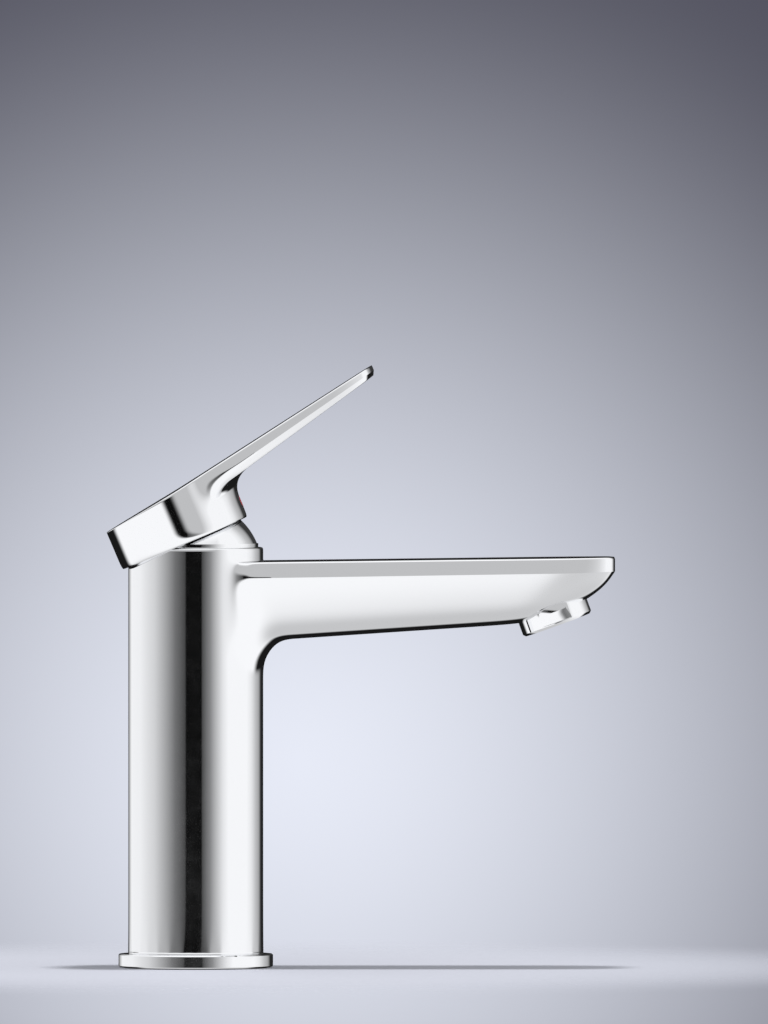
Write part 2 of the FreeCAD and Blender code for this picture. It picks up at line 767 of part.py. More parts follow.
def aerator_housing():
    """Chrome aerator ring, with a thread above and two flats for a spanner."""
    body = ring("aerator_housing", [
        (AERATOR_BORE, "0"),
        ("aerator_radius", "0", "aerator_edge"),
        ("aerator_radius", "aerator_ring_height - film"),
        (AERATOR_THREAD, "aerator_ring_height - film"),
        (AERATOR_THREAD, "aerator_height"),
        (AERATOR_BORE, "aerator_height"),
    ], **AERATOR)
    for side in ("", "-"):
        flat = sketch(body, "XZ", offset=f"{side}(aerator_radius - flat_depth / 2)",
                      at=AERATOR["at"], turn=AERATOR["lean"])
        outline(flat, [
            ("-aerator_radius", "-aerator_edge"),
            ("aerator_radius", "-aerator_edge"),
            ("aerator_radius", "flat_height"),
            ("-aerator_radius", "flat_height"),
        ])
        extrude(body, flat, "flat_depth", cut=True, both=True)


def aerator_insert():
    """Plastic insert: a plate with a ring of small jets round one in the middle."""
    outer = f"{AERATOR_BORE} - running_clearance"
    top = "insert_inset + insert_height"
    body = ring("aerator_insert", [
        ("0", "insert_inset"),
        (outer, "insert_inset"),
        (outer, "aerator_ring_height"),
        (f"{outer} - insert_height / 2", "aerator_ring_height"),
        (f"{outer} - insert_height / 2", top),
        ("0", top),
    ], **AERATOR)
    jet = sketch(body, "XZ", at=AERATOR["at"], turn=AERATOR["lean"])
    outline(jet, [
        ("jet_ring_radius - jet_radius", "insert_inset"),
        ("jet_ring_radius + jet_radius", "insert_inset"),
        ("jet_ring_radius + jet_radius", "insert_inset + insert_height / 2"),
        ("jet_ring_radius - jet_radius", "insert_inset + insert_height / 2"),
    ])
    turn(body, jet, cut=True)


def aerator_screen():
    """Strainer disc that lies on the insert's rim."""
    ring("aerator_screen", [
        ("0", "aerator_ring_height"),
        (f"{AERATOR_BORE} - running_clearance", "aerator_ring_height"),
        (f"{AERATOR_BORE} - running_clearance",
         "aerator_ring_height + screen_thickness"),
        ("0", "aerator_ring_height + screen_thickness"),
    ], **AERATOR)


def aerator_washer():
    ring("aerator_washer", [
        (f"{AERATOR_BORE} - seal_width", "aerator_height"),
        (AERATOR_THREAD, "aerator_height"),
        (AERATOR_THREAD, "aerator_height + washer_thickness - seal_clearance"),
        (f"{AERATOR_BORE} - seal_width",
         "aerator_height + washer_thickness - seal_clearance"),
    ], **AERATOR)


# ---------------------------------------------------------------- lever

SCREW = {
    "at": ("screw_height * sin(stem_lean)", "screw_height * cos(stem_lean)"),
    "turn": "-stem_lean",
}
SCREW_OUT = "(stem_radius + screw_length)"
PLUG_FACE = f"(({HUB} - screw_height * sin(stem_lean)) / cos(stem_lean) - plug_recess)"
PLUG_START = f"({PLUG_FACE} - plug_length)"


def about_stem(body, corners, cut=False):
    """Turn an outline of (radius, height) corners about the leaning stem's axis. It is drawn
    behind the axis, so that the round faces' seam stays clear of the screw hole in front."""
    drawn = sketch(body, "XZ", turn="-stem_lean")
    behind = [(f"-({corner[0]})", *corner[1:]) for corner in corners]
    return turn(body, outline(drawn, behind), cut)


def about_screw(body, start, end, radius, cut=False):
    """A round bar, or hole, from start to end out along the set screw's axis."""
    drawn = outline(sketch(body, "XZ", **SCREW), [
        (start, "0"), (end, "0"), (end, radius), (start, radius),
    ])
    return turn(body, drawn, cut, axis="H_Axis")


def blade(body):
    """The lever's flat blade, seen from above a tongue with rounded tip corners."""
    plan = sketch(body, "XY")
    outline(plan, [
        ("0", f"-{BLADE_ROOT}"),
        ("lever_reach", "-blade_tip_half_width", "blade_tip_corner"),
        ("lever_reach", "blade_tip_half_width", "blade_tip_corner"),
        ("0", BLADE_ROOT),
    ])
    extrude(body, plan, "lever_tip_height")
    tip_floor = "lever_tip_height - blade_tip_thickness"
    tip_under = "lever_reach - blade_tip_thickness / 3"
    slope = f"(({tip_floor} - blade_root_height) / ({tip_under} - {HUB}))"
    below = sketch(body, "XZ")
    outline(below, [
        (f"-{HUB}", f"-{HUB}"),
        ("2 * lever_reach", f"-{HUB}"),
        ("2 * lever_reach", "lever_tip_height"),
        ("lever_reach", "lever_tip_height"),
        (tip_under, tip_floor),
        (f"-{HUB}", f"blade_root_height - 2 * {HUB} * {slope}"),
    ])
    extrude(body, below, f"4 * {HUB}", cut=True, both=True)


def lever_handle():
    """Lever: a hub that wraps over the dome and a flat blade out over the spout."""
    body = new_body("lever_handle")
    blade(body)
    hub = sketch(body, "XY", offset="hub_lip", turn="180")
    circle(hub, "0", "0", HUB)
    extrude(body, hub, "lever_tip_height - hub_lip")
    above = sketch(body, "XZ")
    outline(above, [
        (f"-2 * {HUB}", "hub_back_height"),
        (f"-{HUB}", "hub_back_height"),
        ("hub_break_forward", "hub_break_height"),
        ("lever_reach", "lever_tip_height"),
        ("2 * lever_reach", "lever_tip_height"),
        ("2 * lever_reach", "2 * lever_tip_height"),
        (f"-2 * {HUB}", "2 * lever_tip_height"),
    ])
    extrude(body, above, f"4 * {HUB}", cut=True, both=True)
    hollow = body.newObject("PartDesign::SubtractiveSphere", "hub_hollow")
    bind(hollow, "Radius", HUB_HOLLOW)
    body.Tip = hollow
    boss_top = f"{HUB_HOLLOW} + boss_bite"
    about_stem(body, [
        ("0", "boss_start"), ("boss_radius", "boss_start"),
        ("boss_radius", boss_top), ("0", boss_top),
    ])
    bore = "stem_radius + running_clearance"
    bore_top = "stem_top + running_clearance"
    about_stem(body, [
        ("0", "boss_start / 2"), (bore, "boss_start / 2"), (bore, bore_top), ("0", bore_top),
    ], cut=True)
    about_screw(body, "0", PLUG_START, "screw_radius + running_clearance", cut=True)
    about_screw(body, PLUG_START, f"2 * {HUB}", "plug_radius + running_clearance",
                cut=True)
    return on_lever(body)


def stem():
    """Steel stem: it rocks on the hinge pin, and its ball end pushes the disc carrier."""
    body = new_body("stem")
    ball_low = "-(stem_arm + stem_ball_radius)"
    ball_high = "-(stem_arm - stem_ball_radius)"
    ball_round = "stem_ball_radius - running_clearance"
    about_stem(body, [
        ("0", ball_low),
        ("stem_ball_radius", ball_low, ball_round),
        ("stem_ball_radius", "slot_clearance - stem_arm"),
        ("stem_neck_radius", ball_high),
        ("stem_radius", f"{ball_high} + stem_radius - stem_neck_radius"),
        ("stem_radius", "stem_top"),
        ("0", "stem_top"),
    ])
    hinge = sketch(body, "XZ")
    circle(hinge, "0", "0", "pin_radius + running_clearance")
    extrude(body, hinge, "4 * stem_radius", cut=True, both=True)
    return on_lever(body)


def set_screw():
    """Grub screw that clamps the lever on its stem, with a socket for a hexagon key."""
    body = new_body("set_screw")
    about_screw(body, "stem_radius", SCREW_OUT, "screw_radius")
    about_screw(body, f"{SCREW_OUT} - screw_length / 3", SCREW_OUT, "screw_socket_radius",
                cut=True)
    return on_lever(body)


def index_plug():
    """Plug in the front of the hub that hides the grub screw."""
    body = new_body("index_plug")
    about_screw(body, PLUG_START, PLUG_FACE, "plug_radius")
    return on_lever(body)


def index_mark(label, left):
    """Half of the coloured disc in the plug's face; left is the user's left, towards -Y."""
    body = new_body(label)
    about_screw(body, PLUG_FACE, f"{PLUG_FACE} + mark_thickness", "plug_radius")
    side = sketch(body, "XZ")
    outline(side, [
        ("0", "0"), (f"2 * {HUB}", "0"),
        (f"2 * {HUB}", f"2 * {HUB}"), ("0", f"2 * {HUB}"),
    ])
    extrude(body, side, HUB, cut=True, up=not left)
    return on_lever(body)


def hot_mark():
    return index_mark("hot_mark", True)


def cold_mark():
    return index_mark("cold_mark", False)


def guide_o_ring():
    o_ring("guide_o_ring", f"{ROTOR} - guide_ring_radius - seal_clearance",
           "pivot_height + guide_ring_rise", "guide_ring_radius")


def dome_o_ring():
    o_ring("dome_o_ring", f"{NUT_BORE} - dome_ring_radius - seal_clearance",
           f"{SKIRT_BOTTOM} + skirt_depth / 2", "dome_ring_radius")


PIECES = (
    base_ring, base_gasket, body_casting,
    cartridge_base, port_seals, cartridge_housing, fixed_disc, moving_disc, disc_carrier,
    stem_guide, guide_o_ring, pivot_pin, retaining_nut, stop_ring, dome_cover, dome_o_ring,
    aerator_housing, aerator_insert, aerator_screen, aerator_washer,
    lever_handle, stem, set_screw, index_plug, hot_mark, cold_mark,
)
for piece in PIECES:
    piece()
doc.recompute()

failed = [thing.Name for thing in doc.Objects if {"Invalid", "Error"} & set(thing.State)]
if failed:
    raise ValueError("these objects did not compute: " + ", ".join(failed))
bodies = [thing for thing in doc.Objects if thing.TypeId == "PartDesign::Body"]
for body in bodies:
    if body.Shape.isNull() or not body.Shape.isValid():
        raise ValueError(body.Label + " has no valid shape")

os.makedirs("parts", exist_ok=True)
for body in bodies:
    body.Shape.exportStep(f"parts/{body.Label}.step")
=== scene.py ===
"""Looks of a single-lever basin mixer: chrome body, tilting lever, aerator and base ring on a pale floor."""
import json
import math

import bmesh
import bpy
from mathutils import Matrix, Vector


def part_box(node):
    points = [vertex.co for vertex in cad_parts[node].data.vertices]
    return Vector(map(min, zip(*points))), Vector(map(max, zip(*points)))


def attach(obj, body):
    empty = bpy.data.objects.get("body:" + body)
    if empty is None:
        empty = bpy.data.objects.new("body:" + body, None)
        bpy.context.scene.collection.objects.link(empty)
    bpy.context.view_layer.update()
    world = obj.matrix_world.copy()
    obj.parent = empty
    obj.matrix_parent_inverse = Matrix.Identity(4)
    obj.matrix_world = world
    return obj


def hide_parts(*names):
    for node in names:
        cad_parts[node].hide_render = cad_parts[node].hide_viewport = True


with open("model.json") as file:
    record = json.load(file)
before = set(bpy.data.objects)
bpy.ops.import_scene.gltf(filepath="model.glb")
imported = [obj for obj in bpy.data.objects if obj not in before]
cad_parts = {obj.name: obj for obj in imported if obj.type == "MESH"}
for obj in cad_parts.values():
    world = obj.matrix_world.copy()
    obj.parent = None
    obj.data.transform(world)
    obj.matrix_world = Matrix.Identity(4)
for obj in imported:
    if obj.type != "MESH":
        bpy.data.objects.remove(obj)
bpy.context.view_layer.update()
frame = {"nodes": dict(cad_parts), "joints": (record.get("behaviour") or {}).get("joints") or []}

MM = 0.001
# Faces round the column and the hub, and how many to each side of the front the spout and blade grow from.
SIDES = 32
WIDE = 5
# Width at the top edge of the side bands, as a share of the width at their fold.
BAND_LEAN = 0.955
lifting = next(joint for joint in frame["joints"] if joint["name"] == "lever_lift")
PIVOT = lifting["pos_m"][2] / MM
LIFT = -lifting["range_deg"][0]


def millimetres(point):
    return Vector(point) / MM


# ---------------------------------------------------------------- shaders

def paint(red, green, blue):
    """A colour chip value (0 to 255) as the shader's own linear colour."""
    chip = [c / 255 for c in (red, green, blue)]
    return tuple(c / 12.92 if c < 0.04 else ((c + 0.055) / 1.055) ** 2.4 for c in chip) + (1.0,)


def grey(level):
    return (level, level, level, 1.0)


def add(tree, kind, settings=None, **sockets):
    node = tree.nodes.new(kind)
    for name, value in (settings or {}).items():
        setattr(node, name, value)
    for name, value in sockets.items():
        plug(tree, node, name.replace("_", " "), value)
    return node


def plug(tree, node, socket, value):
    numbered = socket[0] == "i" and socket[1:].isdigit()
    target = node.inputs[int(socket[1:]) if numbered else socket]
    if isinstance(value, bpy.types.NodeSocket):
        tree.links.new(value, target)
    else:
        target.default_value = value


def maths(tree, operation, first, second=0.0):
    return add(tree, "ShaderNodeMath", {"operation": operation}, i0=first, i1=second).outputs[0]


def fade(tree, value, start, end, low=0.0, high=1.0):
    node = add(tree, "ShaderNodeMapRange", {"interpolation_type": "SMOOTHSTEP"})
    given = {"Value": value, "From Min": start, "From Max": end, "To Min": low, "To Max": high}
    for socket, setting in given.items():
        plug(tree, node, socket, setting)
    return node.outputs["Result"]


def blend(tree, factor, first, second):
    return add(tree, "ShaderNodeMix", {"data_type": "FLOAT"}, Factor=factor, A=first, B=second).outputs[0]


def blend_colours(tree, factor, first, second):
    return add(tree, "ShaderNodeMix", {"data_type": "RGBA"}, Factor=factor, i6=first, i7=second).outputs[2]


def ramp(tree, value, stops):
    node = add(tree, "ShaderNodeValToRGB", Fac=value)
    band = node.color_ramp
    band.elements[0].position, band.elements[0].color = stops[0]
    band.elements[1].position, band.elements[1].color = stops[-1]
    for position, colour in stops[1:-1]:
        band.elements.new(position).color = colour
    return node.outputs["Color"]


def finish(name, colour, metal=0.0, rough=0.4, rough_spread=0.08, grain=900.0, bump=0.02, tint=0.04,
           stretch=(1, 1, 1), coat=0.0):
    """A shader with fine grain in its gloss, its colour and its surface."""
    material = bpy.data.materials.new(name)
    material.use_nodes = True
    tree = material.node_tree
    shader = tree.nodes["Principled BSDF"]
    place = add(tree, "ShaderNodeTexCoord").outputs["Object"]
    mapped = add(tree, "ShaderNodeMapping", Vector=place, Scale=stretch).outputs["Vector"]
    grains = add(tree, "ShaderNodeTexNoise", Vector=mapped, Scale=grain, Detail=4.0, Roughness=0.6)
    clouds = add(tree, "ShaderNodeTexNoise", Vector=mapped, Scale=grain / 30, Detail=3.0)
    fine, broad = grains.outputs["Fac"], clouds.outputs["Fac"]
    mixed = maths(tree, "MULTIPLY", maths(tree, "ADD", fine, broad), 0.5)
    smoothest, roughest = max(0.01, rough - rough_spread), rough + rough_spread
    plug(tree, shader, "Roughness", fade(tree, mixed, 0.3, 0.7, smoothest, roughest))
    deep = tuple(c * (1 - tint) for c in colour[:3]) + (1.0,)
    plug(tree, shader, "Base Color", ramp(tree, broad, [(0.35, deep), (0.65, colour)]))
    shader.inputs["Metallic"].default_value = metal
    shader.inputs["Coat Weight"].default_value = coat
    if bump:
        raised = add(tree, "ShaderNodeBump", Strength=bump, Distance=0.0002, Height=fine)
        plug(tree, shader, "Normal", raised.outputs["Normal"])
    return material


# ---------------------------------------------------------------- mesh tools

def rim(bm, verts):
    chosen = set(verts)
    return [e for e in bm.edges if e.verts[0] in chosen and e.verts[1] in chosen]


def new_ring(bm, verts):
    """Extrudes a ring of verts and returns the new ring, still in the same place."""
    grown = bmesh.ops.extrude_edge_only(bm, edges=rim(bm, verts))["geom"]
    return [g for g in grown if isinstance(g, bmesh.types.BMVert)]


def tube(bm, rings, count=SIDES):
    """A tube from (radius, height) pairs. Each vert keeps its ring as 'row' and its place in it as 'col'."""
    row = bm.verts.layers.int.new("row")
    col = bm.verts.layers.int.new("col")
    station = bm.verts.layers.int.new("station")
    verts = bmesh.ops.create_circle(bm, segments=count, radius=rings[0][0])["verts"]
    bmesh.ops.translate(bm, verts=verts, vec=(0, 0, rings[0][1]))
    for v in verts:
        v[col] = round(math.atan2(v.co.y, v.co.x) / (2 * math.pi) * count)
    made = [verts]
    for index in range(1, len(rings)):
        (radius, height), (last, level) = rings[index], rings[index - 1]
        verts = new_ring(bm, verts)
        for v in verts:
            v[row] = index
        bmesh.ops.scale(bm, verts=verts, vec=(radius / last, radius / last, 1))
        bmesh.ops.translate(bm, verts=verts, vec=(0, 0, height - level))
        made.append(verts)
    return made, row, col, station


def close(bm, verts):
    """Closes a ring with a fan to one vert in its middle."""
    middle = sum((v.co for v in verts), Vector()) / len(verts)
    tip = new_ring(bm, verts)
    bmesh.ops.pointmerge(bm, verts=tip, merge_co=middle)


def grow(bm, region, number, station, shape):
    """Extrudes a patch of faces and puts the new verts where shape(vert) says."""
    grown = bmesh.ops.extrude_face_region(bm, geom=region)["geom"]
    left = [f for f in region if f.is_valid]
    if left:
        bmesh.ops.delete(bm, geom=left, context="FACES")
    faces = [g for g in grown if isinstance(g, bmesh.types.BMFace)]
    for v in {v for f in faces for v in f.verts}:
        v[station] = number
        v.co = shape(v)
    return faces


def mesh_object(name, bm, body, material, levels=0, smooth_angle=None):
    bmesh.ops.remove_doubles(bm, verts=bm.verts, dist=1e-4)
    bmesh.ops.recalc_face_normals(bm, faces=bm.faces)
    bmesh.ops.scale(bm, verts=bm.verts, vec=(MM, MM, MM))
    for f in bm.faces:
        f.smooth = True
    mesh = bpy.data.meshes.new(name)
    bm.to_mesh(mesh)
    bm.free()
    mesh.materials.append(material)
    piece = bpy.data.objects.new(name, mesh)
    bpy.context.scene.collection.objects.link(piece)
    if smooth_angle:
        mesh.set_sharp_from_angle(angle=math.radians(smooth_angle))
    if levels:
        rounding = piece.modifiers.new("Rounding", "SUBSURF")
        rounding.levels = rounding.render_levels = levels
    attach(piece, body)
    return piece


def caged(radius):
    """Radius of the drawn ring that the rounding pulls in to the given radius."""
    return radius / ((2 + math.cos(2 * math.pi / SIDES)) / 3)


def lifted():
    """Turns what is drawn on a closed lever to the lever at rest."""
    return Matrix.Translation((0, 0, PIVOT)) @ Matrix.Rotation(math.radians(-LIFT), 4, "Y")


# ---------------------------------------------------------------- chrome body

def body_shell(material):
    """Column and spout in one skin. The spout is a patch of the column's front, drawn out along +X."""
    low, high = (millimetres(p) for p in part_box("body_casting"))
    radius, reach, foot, collar = -low.x, high.x, low.z, high.z
    cage = caged(radius)
    bore, chamber, nut_bore, collar_bore = 18.5, 18.1, 19.7, 20.1
    nut_foot = millimetres(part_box("retaining_nut")[0]).z
    seat = millimetres(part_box("cartridge_base")[0]).z
    first, crease_row, top_row = 5, 9, 10
    rings = [(cage, foot + h) for h in (0, 28, 56, 80, 92, 98.6, 106, 112.5, 119, 124.9, 130.4)]
    rings += [(cage, collar - 1.5), (cage, collar - 0.45), (cage - 0.4, collar), (cage - 1.6, collar)]
    rings += [(collar_bore, collar), (nut_bore, collar - 0.6), (nut_bore, nut_foot)]
    rings += [(chamber, nut_foot - 0.4), (chamber, seat + 0.2), (chamber - 0.6, seat - 0.1), (9, seat - 0.1)]
    bm = bmesh.new()
    made, row, col, station = tube(bm, rings)
    close(bm, made[-1])
    inside = new_ring(bm, made[0])
    bmesh.ops.scale(bm, verts=inside, vec=(bore / cage,) * 2 + (1,))
    for height in (0.4, 70, seat - foot - 12):
        inside = new_ring(bm, inside)
        for v in inside:
            v.co.z = foot + height
    close(bm, inside)

    top_height, top_slope = 132.3, 0.0122
    fold_height, fold_slope = 127.05, 0.015
    belly_start, belly_height, belly_slope = 35, 107.45, 0.0664
    # The underside turns up into the nose from here, round an arc that starts at the belly's lean.
    nose_start, nose_radius, nose_lean, nose_level = 102.5, 56, 0.0663, 0.9978

    def top(x):
        return top_height + top_slope * x

    def crease(x):
        return fold_height + fold_slope * x

    def belly(x):
        flat = belly_height + belly_slope * (min(x, nose_start) - belly_start)
        lean = nose_lean + max(0.0, x - nose_start) / nose_radius
        return flat + nose_radius * (nose_level - math.sqrt(max(0.0, 1 - lean * lean)))

    half_width = 18.0
    depth_share = {5: 0.10, 6: 0.25, 7: 0.50, 8: 0.76, 9: 1.0}
    width_share = {5: 0.62, 6: 0.765, 7: 0.86, 8: 0.94, 9: 1.0, 10: BAND_LEAN}
    drawn_reach = 136.6
    back = reach - drawn_reach
    tip = reach + 0.15
    # top x, underside x, how far the sides hang back, half width
    stations = [(24.4, 26.8, 8.2, 18.2), (28.5, 33.0, 4.6, half_width), (36, 41, 1.5, half_width)]
    stations += [(52, 54, 0, half_width), (74 + back, 72 + back, 0, half_width)]
    stations += [(96 + back, 89 + back, 0, half_width), (111 + back, 99 + back, 0, half_width)]
    stations += [(119 + back, 107 + back, 0, half_width), (127 + back, 114.2 + back, 0.3, 15.6)]
    stations += [(tip, 121.5 + back, 1.6, 12.6)]
    # x and height of the nose's face, from the fold down to the belly
    nose = {9: (tip, 129.35), 8: (reach - 2.1, 125.9), 7: (reach - 5.2, 122.9), 6: (reach - 9.3, 120.0),
            5: (reach - 14.8, 117.0)}

    def shaper(top_x, low_x, hang, half, last):
        def shape(v):
            r, k = v[row], v[col] / WIDE
            share = width_share[r]
            if r == top_row:
                across = abs(k)
                x = top_x - hang * across ** (6 if last else 2)
                return Vector((x, half * share * k, top(x)))
            lift = depth_share[r]
            x = low_x + (top_x - low_x) * (lift - 0.1) / 0.9
            if last:
                x, z = nose[r]
                across = abs(k)
                y = half * share * k
                z += 0.8 * across ** 3 * (1 - lift)
                return Vector((x - hang * across ** 6, y, z))
            x -= hang * k * k * (0.5 + 0.5 * lift)
            under = belly(x)
            z = under + (crease(x) - under) * lift
            if r == first:
                z = under + (z - under) * abs(k) ** 3.2
            return Vector((x, half * share * k, z))
        return shape

    patch = [f for f in bm.faces if all(first <= v[row] <= top_row and abs(v[col]) <= WIDE for v in f.verts)]
    for number, (top_x, low_x, hang, half) in enumerate(stations, 1):
        patch = grow(bm, patch, number, station, shaper(top_x, low_x, hang, half, number == len(stations)))
    folds = bm.edges.layers.float.new("crease_edge")
    end = len(stations)
    for e in bm.edges:
        a, b = e.verts
        rows, near, far = {a[row], b[row]}, min(a[station], b[station]), max(a[station], b[station])
        side = abs(a[col]) == WIDE and abs(b[col]) == WIDE
        nosed = near == end
        if rows == {top_row}:
            if far and side and near != far:
                e[folds] = (0.25, 0.6)[near] if near < 2 else 0.8
            elif nosed:
                e[folds] = 0.8
            elif far == 0 and abs(a[col]) <= WIDE and abs(b[col]) <= WIDE:
                e[folds] = 0.35
        if rows == {0} and far == 0:
            e[folds] = 1.0
        if rows == {crease_row}:
            if side and near != far and near >= 1:
                e[folds] = 0.6 if near == 1 else 1.0
                e.smooth = near < 2
            elif nosed:
                e[folds] = 1.0
                e.smooth = False
    piece = mesh_object("chrome_body", bm, "mixer_body", material, levels=3)
    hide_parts("body_casting")
    return piece


# ---------------------------------------------------------------- chrome lever

def lever_shell(material):
    """Hub and blade in one skin, drawn closed and then lifted about the pivot."""
    radius = millimetres(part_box("lever_handle")[1]).y
    cage = caged(radius)
    tip, lip = 78.8, 8.9
    first, crease_row, top_row = 4, 5, 6
    # The top rises more steeply in front of this break.
    break_x, break_height = 4, 25.87
    dome_clearance_radius = 23.15

    def top(x):
        return 22.2 + 0.1397 * (x + 22.2) if x < break_x else break_height + 0.1707 * (x - break_x)

    def under(x):
        return 22.3 + 0.2335 * (x - 22.2)

    rings = [(21.35, lip + 0.35), (21.7, lip), (cage, lip + 0.25), (cage, 13.5), (cage, 18.8)]
    rings += [(cage, 21), (cage, 24)]
    bm = bmesh.new()
    made, row, col, station = tube(bm, rings)
    for verts in made[4:]:
        for v in verts:
            share = {4: 1.0, 5: 0.34, 6: 0.0}[v[row]]
            v.co.z = top(v.co.x) - share * (5.4 + 0.098 * (v.co.x + radius))
    crown = made[-1]
    for size in (0.72, 0.6):
        crown = new_ring(bm, crown)
        bmesh.ops.scale(bm, verts=crown, vec=(size, size, 1))
        for v in crown:
            v.co.z = top(v.co.x)
            v[station] = 0
            v[row] = 20
    close(bm, crown)
    hollow = made[0]
    for height in (12.5, 16, 18.6):
        wide = math.sqrt(dome_clearance_radius ** 2 - height ** 2)
        hollow = new_ring(bm, hollow)
        for v in hollow:
            v[row] = 30
            flat = Vector((v.co.x, v.co.y, 0)).normalized() * wide
            v.co = Vector((flat.x, flat.y, height))
    close(bm, hollow)

    # top x, underside x, how far the sides hang back, half width at the crease
    stations = [(27.5, 25.6, 6.0, 17.9), (34, 32.5, 2.0, 17.2), (44, 43, 0, 16.1), (56, 55, 0, 14.8),
                (66.5, 66, 0, 13.75), (74.3, 73.6, 1.6, 12.2), (tip, tip - 0.8, 2.5, 10.0)]

    def shaper(top_x, low_x, hang, half):
        def shape(v):
            r, k = v[row], v[col] / WIDE
            across = abs(k)
            if r == top_row:
                x = top_x - hang * across ** 2
                return Vector((x, half * BAND_LEAN * k, top(x)))
            if r == crease_row:
                x = top_x - hang * across ** 2
                return Vector((x, half * k, top(x) - 0.56 * (top(x) - under(x))))
            x = low_x - hang * across ** 2
            return Vector((x, (half - 1.0) * k, under(x)))
        return shape

    patch = [f for f in bm.faces if all(first <= v[row] <= top_row and abs(v[col]) <= WIDE for v in f.verts)]
    for number, (top_x, low_x, hang, half) in enumerate(stations, 1):
        patch = grow(bm, patch, number, station, shaper(top_x, low_x, hang, half))
    folds = bm.edges.layers.float.new("crease_edge")
    end = len(stations)
    for e in bm.edges:
        a, b = e.verts
        rows, near, far = {a[row], b[row]}, min(a[station], b[station]), max(a[station], b[station])
        side = abs(a[col]) == WIDE and abs(b[col]) == WIDE and near != far
        nosed = near == end
        if rows == {top_row} and (side or nosed or far == 0 and max(abs(a[col]), abs(b[col])) > WIDE):
            e[folds] = 0.6
        if rows == {crease_row} and (nosed or side and near >= 1):
            e[folds] = 0.5 if near == 1 else 1.0
            e.smooth = near < 2
        if rows == {first} and (nosed or side and near >= 1):
            e[folds] = 0.55
    bmesh.ops.transform(bm, matrix=lifted(), verts=bm.verts)
    piece = mesh_object("chrome_lever", bm, "lever", material, levels=3)
    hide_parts("lever_handle")
    return piece


# ---------------------------------------------------------------- aerator ring and index marks

def turned(bm, profile, steps=96):
    """Spins a closed (radius, height) outline about the upright axis."""
    verts = [bm.verts.new((radius, 0, height)) for radius, height in profile]
    edges = [bm.edges.new((a, b)) for a, b in zip(verts, verts[1:] + verts[:1])]
    bmesh.ops.spin(bm, geom=verts + edges, axis=(0, 0, 1), cent=(0, 0, 0), angle=2 * math.pi, steps=steps,
                   use_merge=True)
    bmesh.ops.remove_doubles(bm, verts=bm.verts, dist=1e-4)
    bmesh.ops.recalc_face_normals(bm, faces=bm.faces)


def carved(bm, cutter):
    """Cuts one closed bmesh with another and gives back the result."""
    pair = []
    for name, source in (("blank", bm), ("cutter", cutter)):
        mesh = bpy.data.meshes.new(name)
        source.to_mesh(mesh)
        source.free()
        pair.append(bpy.data.objects.new(name, mesh))
        bpy.context.scene.collection.objects.link(pair[-1])
    cut = pair[0].modifiers.new("Cut", "BOOLEAN")
    cut.operation, cut.object, cut.solver = "DIFFERENCE", pair[1], "EXACT"
    bpy.context.view_layer.update()
    result = bpy.data.meshes.new_from_object(pair[0].evaluated_get(bpy.context.evaluated_depsgraph_get()))
    out = bmesh.new()
    out.from_mesh(result)
    for piece in pair:
        old = piece.data
        bpy.data.objects.remove(piece)
        bpy.data.meshes.remove(old)
    bpy.data.meshes.remove(result)
    return out


def aerator_ring(material):
    """Screwed ring with a spanner flat on each side, leaning 20 degrees so the water falls forward."""
    low, high = (millimetres(p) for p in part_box("aerator_housing"))
    lean = math.radians(20)
    radius = high.y
    flat_depth, flat_middle, flat_lean = 1.0, 2.9, 7
    down = Vector((math.sin(lean), 0, -math.cos(lean)))
    front_x = high.x + 0.2 - radius * math.cos(lean)
    front_z = low.z - 0.15 + radius * math.sin(lean)
    face = Vector((front_x, 0, front_z)) + 0.45 * down
    outline = [(9.7, 0.7), (10.2, 0), (11.05, 0), (radius - 0.1, 0.62), (radius, 0.8), (radius, 7.3)]
    outline += [(radius - 0.1, 7.55), (radius - 0.45, 7.8), (10.2, 7.8), (10.0, 8.2), (10.0, 12), (9.7, 12)]
    blank = bmesh.new()
    turned(blank, outline)
    cutter = bmesh.new()
    for side in (-1, 1):
        block = bmesh.ops.create_cube(cutter, size=1)["verts"]
        bmesh.ops.scale(cutter, vec=(16, 4, 3.5), verts=block)
        bmesh.ops.translate(cutter, vec=(0, side * (radius - flat_depth + 2), flat_middle), verts=block)
        bmesh.ops.rotate(cutter, cent=(0, side * (radius - flat_depth), flat_middle), verts=block,
                         matrix=Matrix.Rotation(math.radians(-side * flat_lean), 3, "X"))
    bm = carved(blank, cutter)
    place = Matrix.Translation(face) @ Matrix.Rotation(-lean, 4, "Y")
    bmesh.ops.transform(bm, verts=bm.verts, matrix=place)
    piece = mesh_object("aerator_ring", bm, "mixer_body", material, smooth_angle=28)
    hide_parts("aerator_housing")


def foot_ring(material):
    """Flat ring the column stands in, with a small bevel on each edge."""
    low, high = (millimetres(p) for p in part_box("base_ring"))
    radius, edge = high.x, 0.35
    bm = bmesh.new()
    turned(bm, [(22.15, low.z), (radius - edge, low.z), (radius, low.z + edge), (radius, high.z - edge),
                (radius - edge, high.z), (22.3, high.z), (22.15, high.z - 0.15)], steps=128)
    piece = mesh_object("foot_ring", bm, "mixer_body", material, smooth_angle=28)
    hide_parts("base_ring")


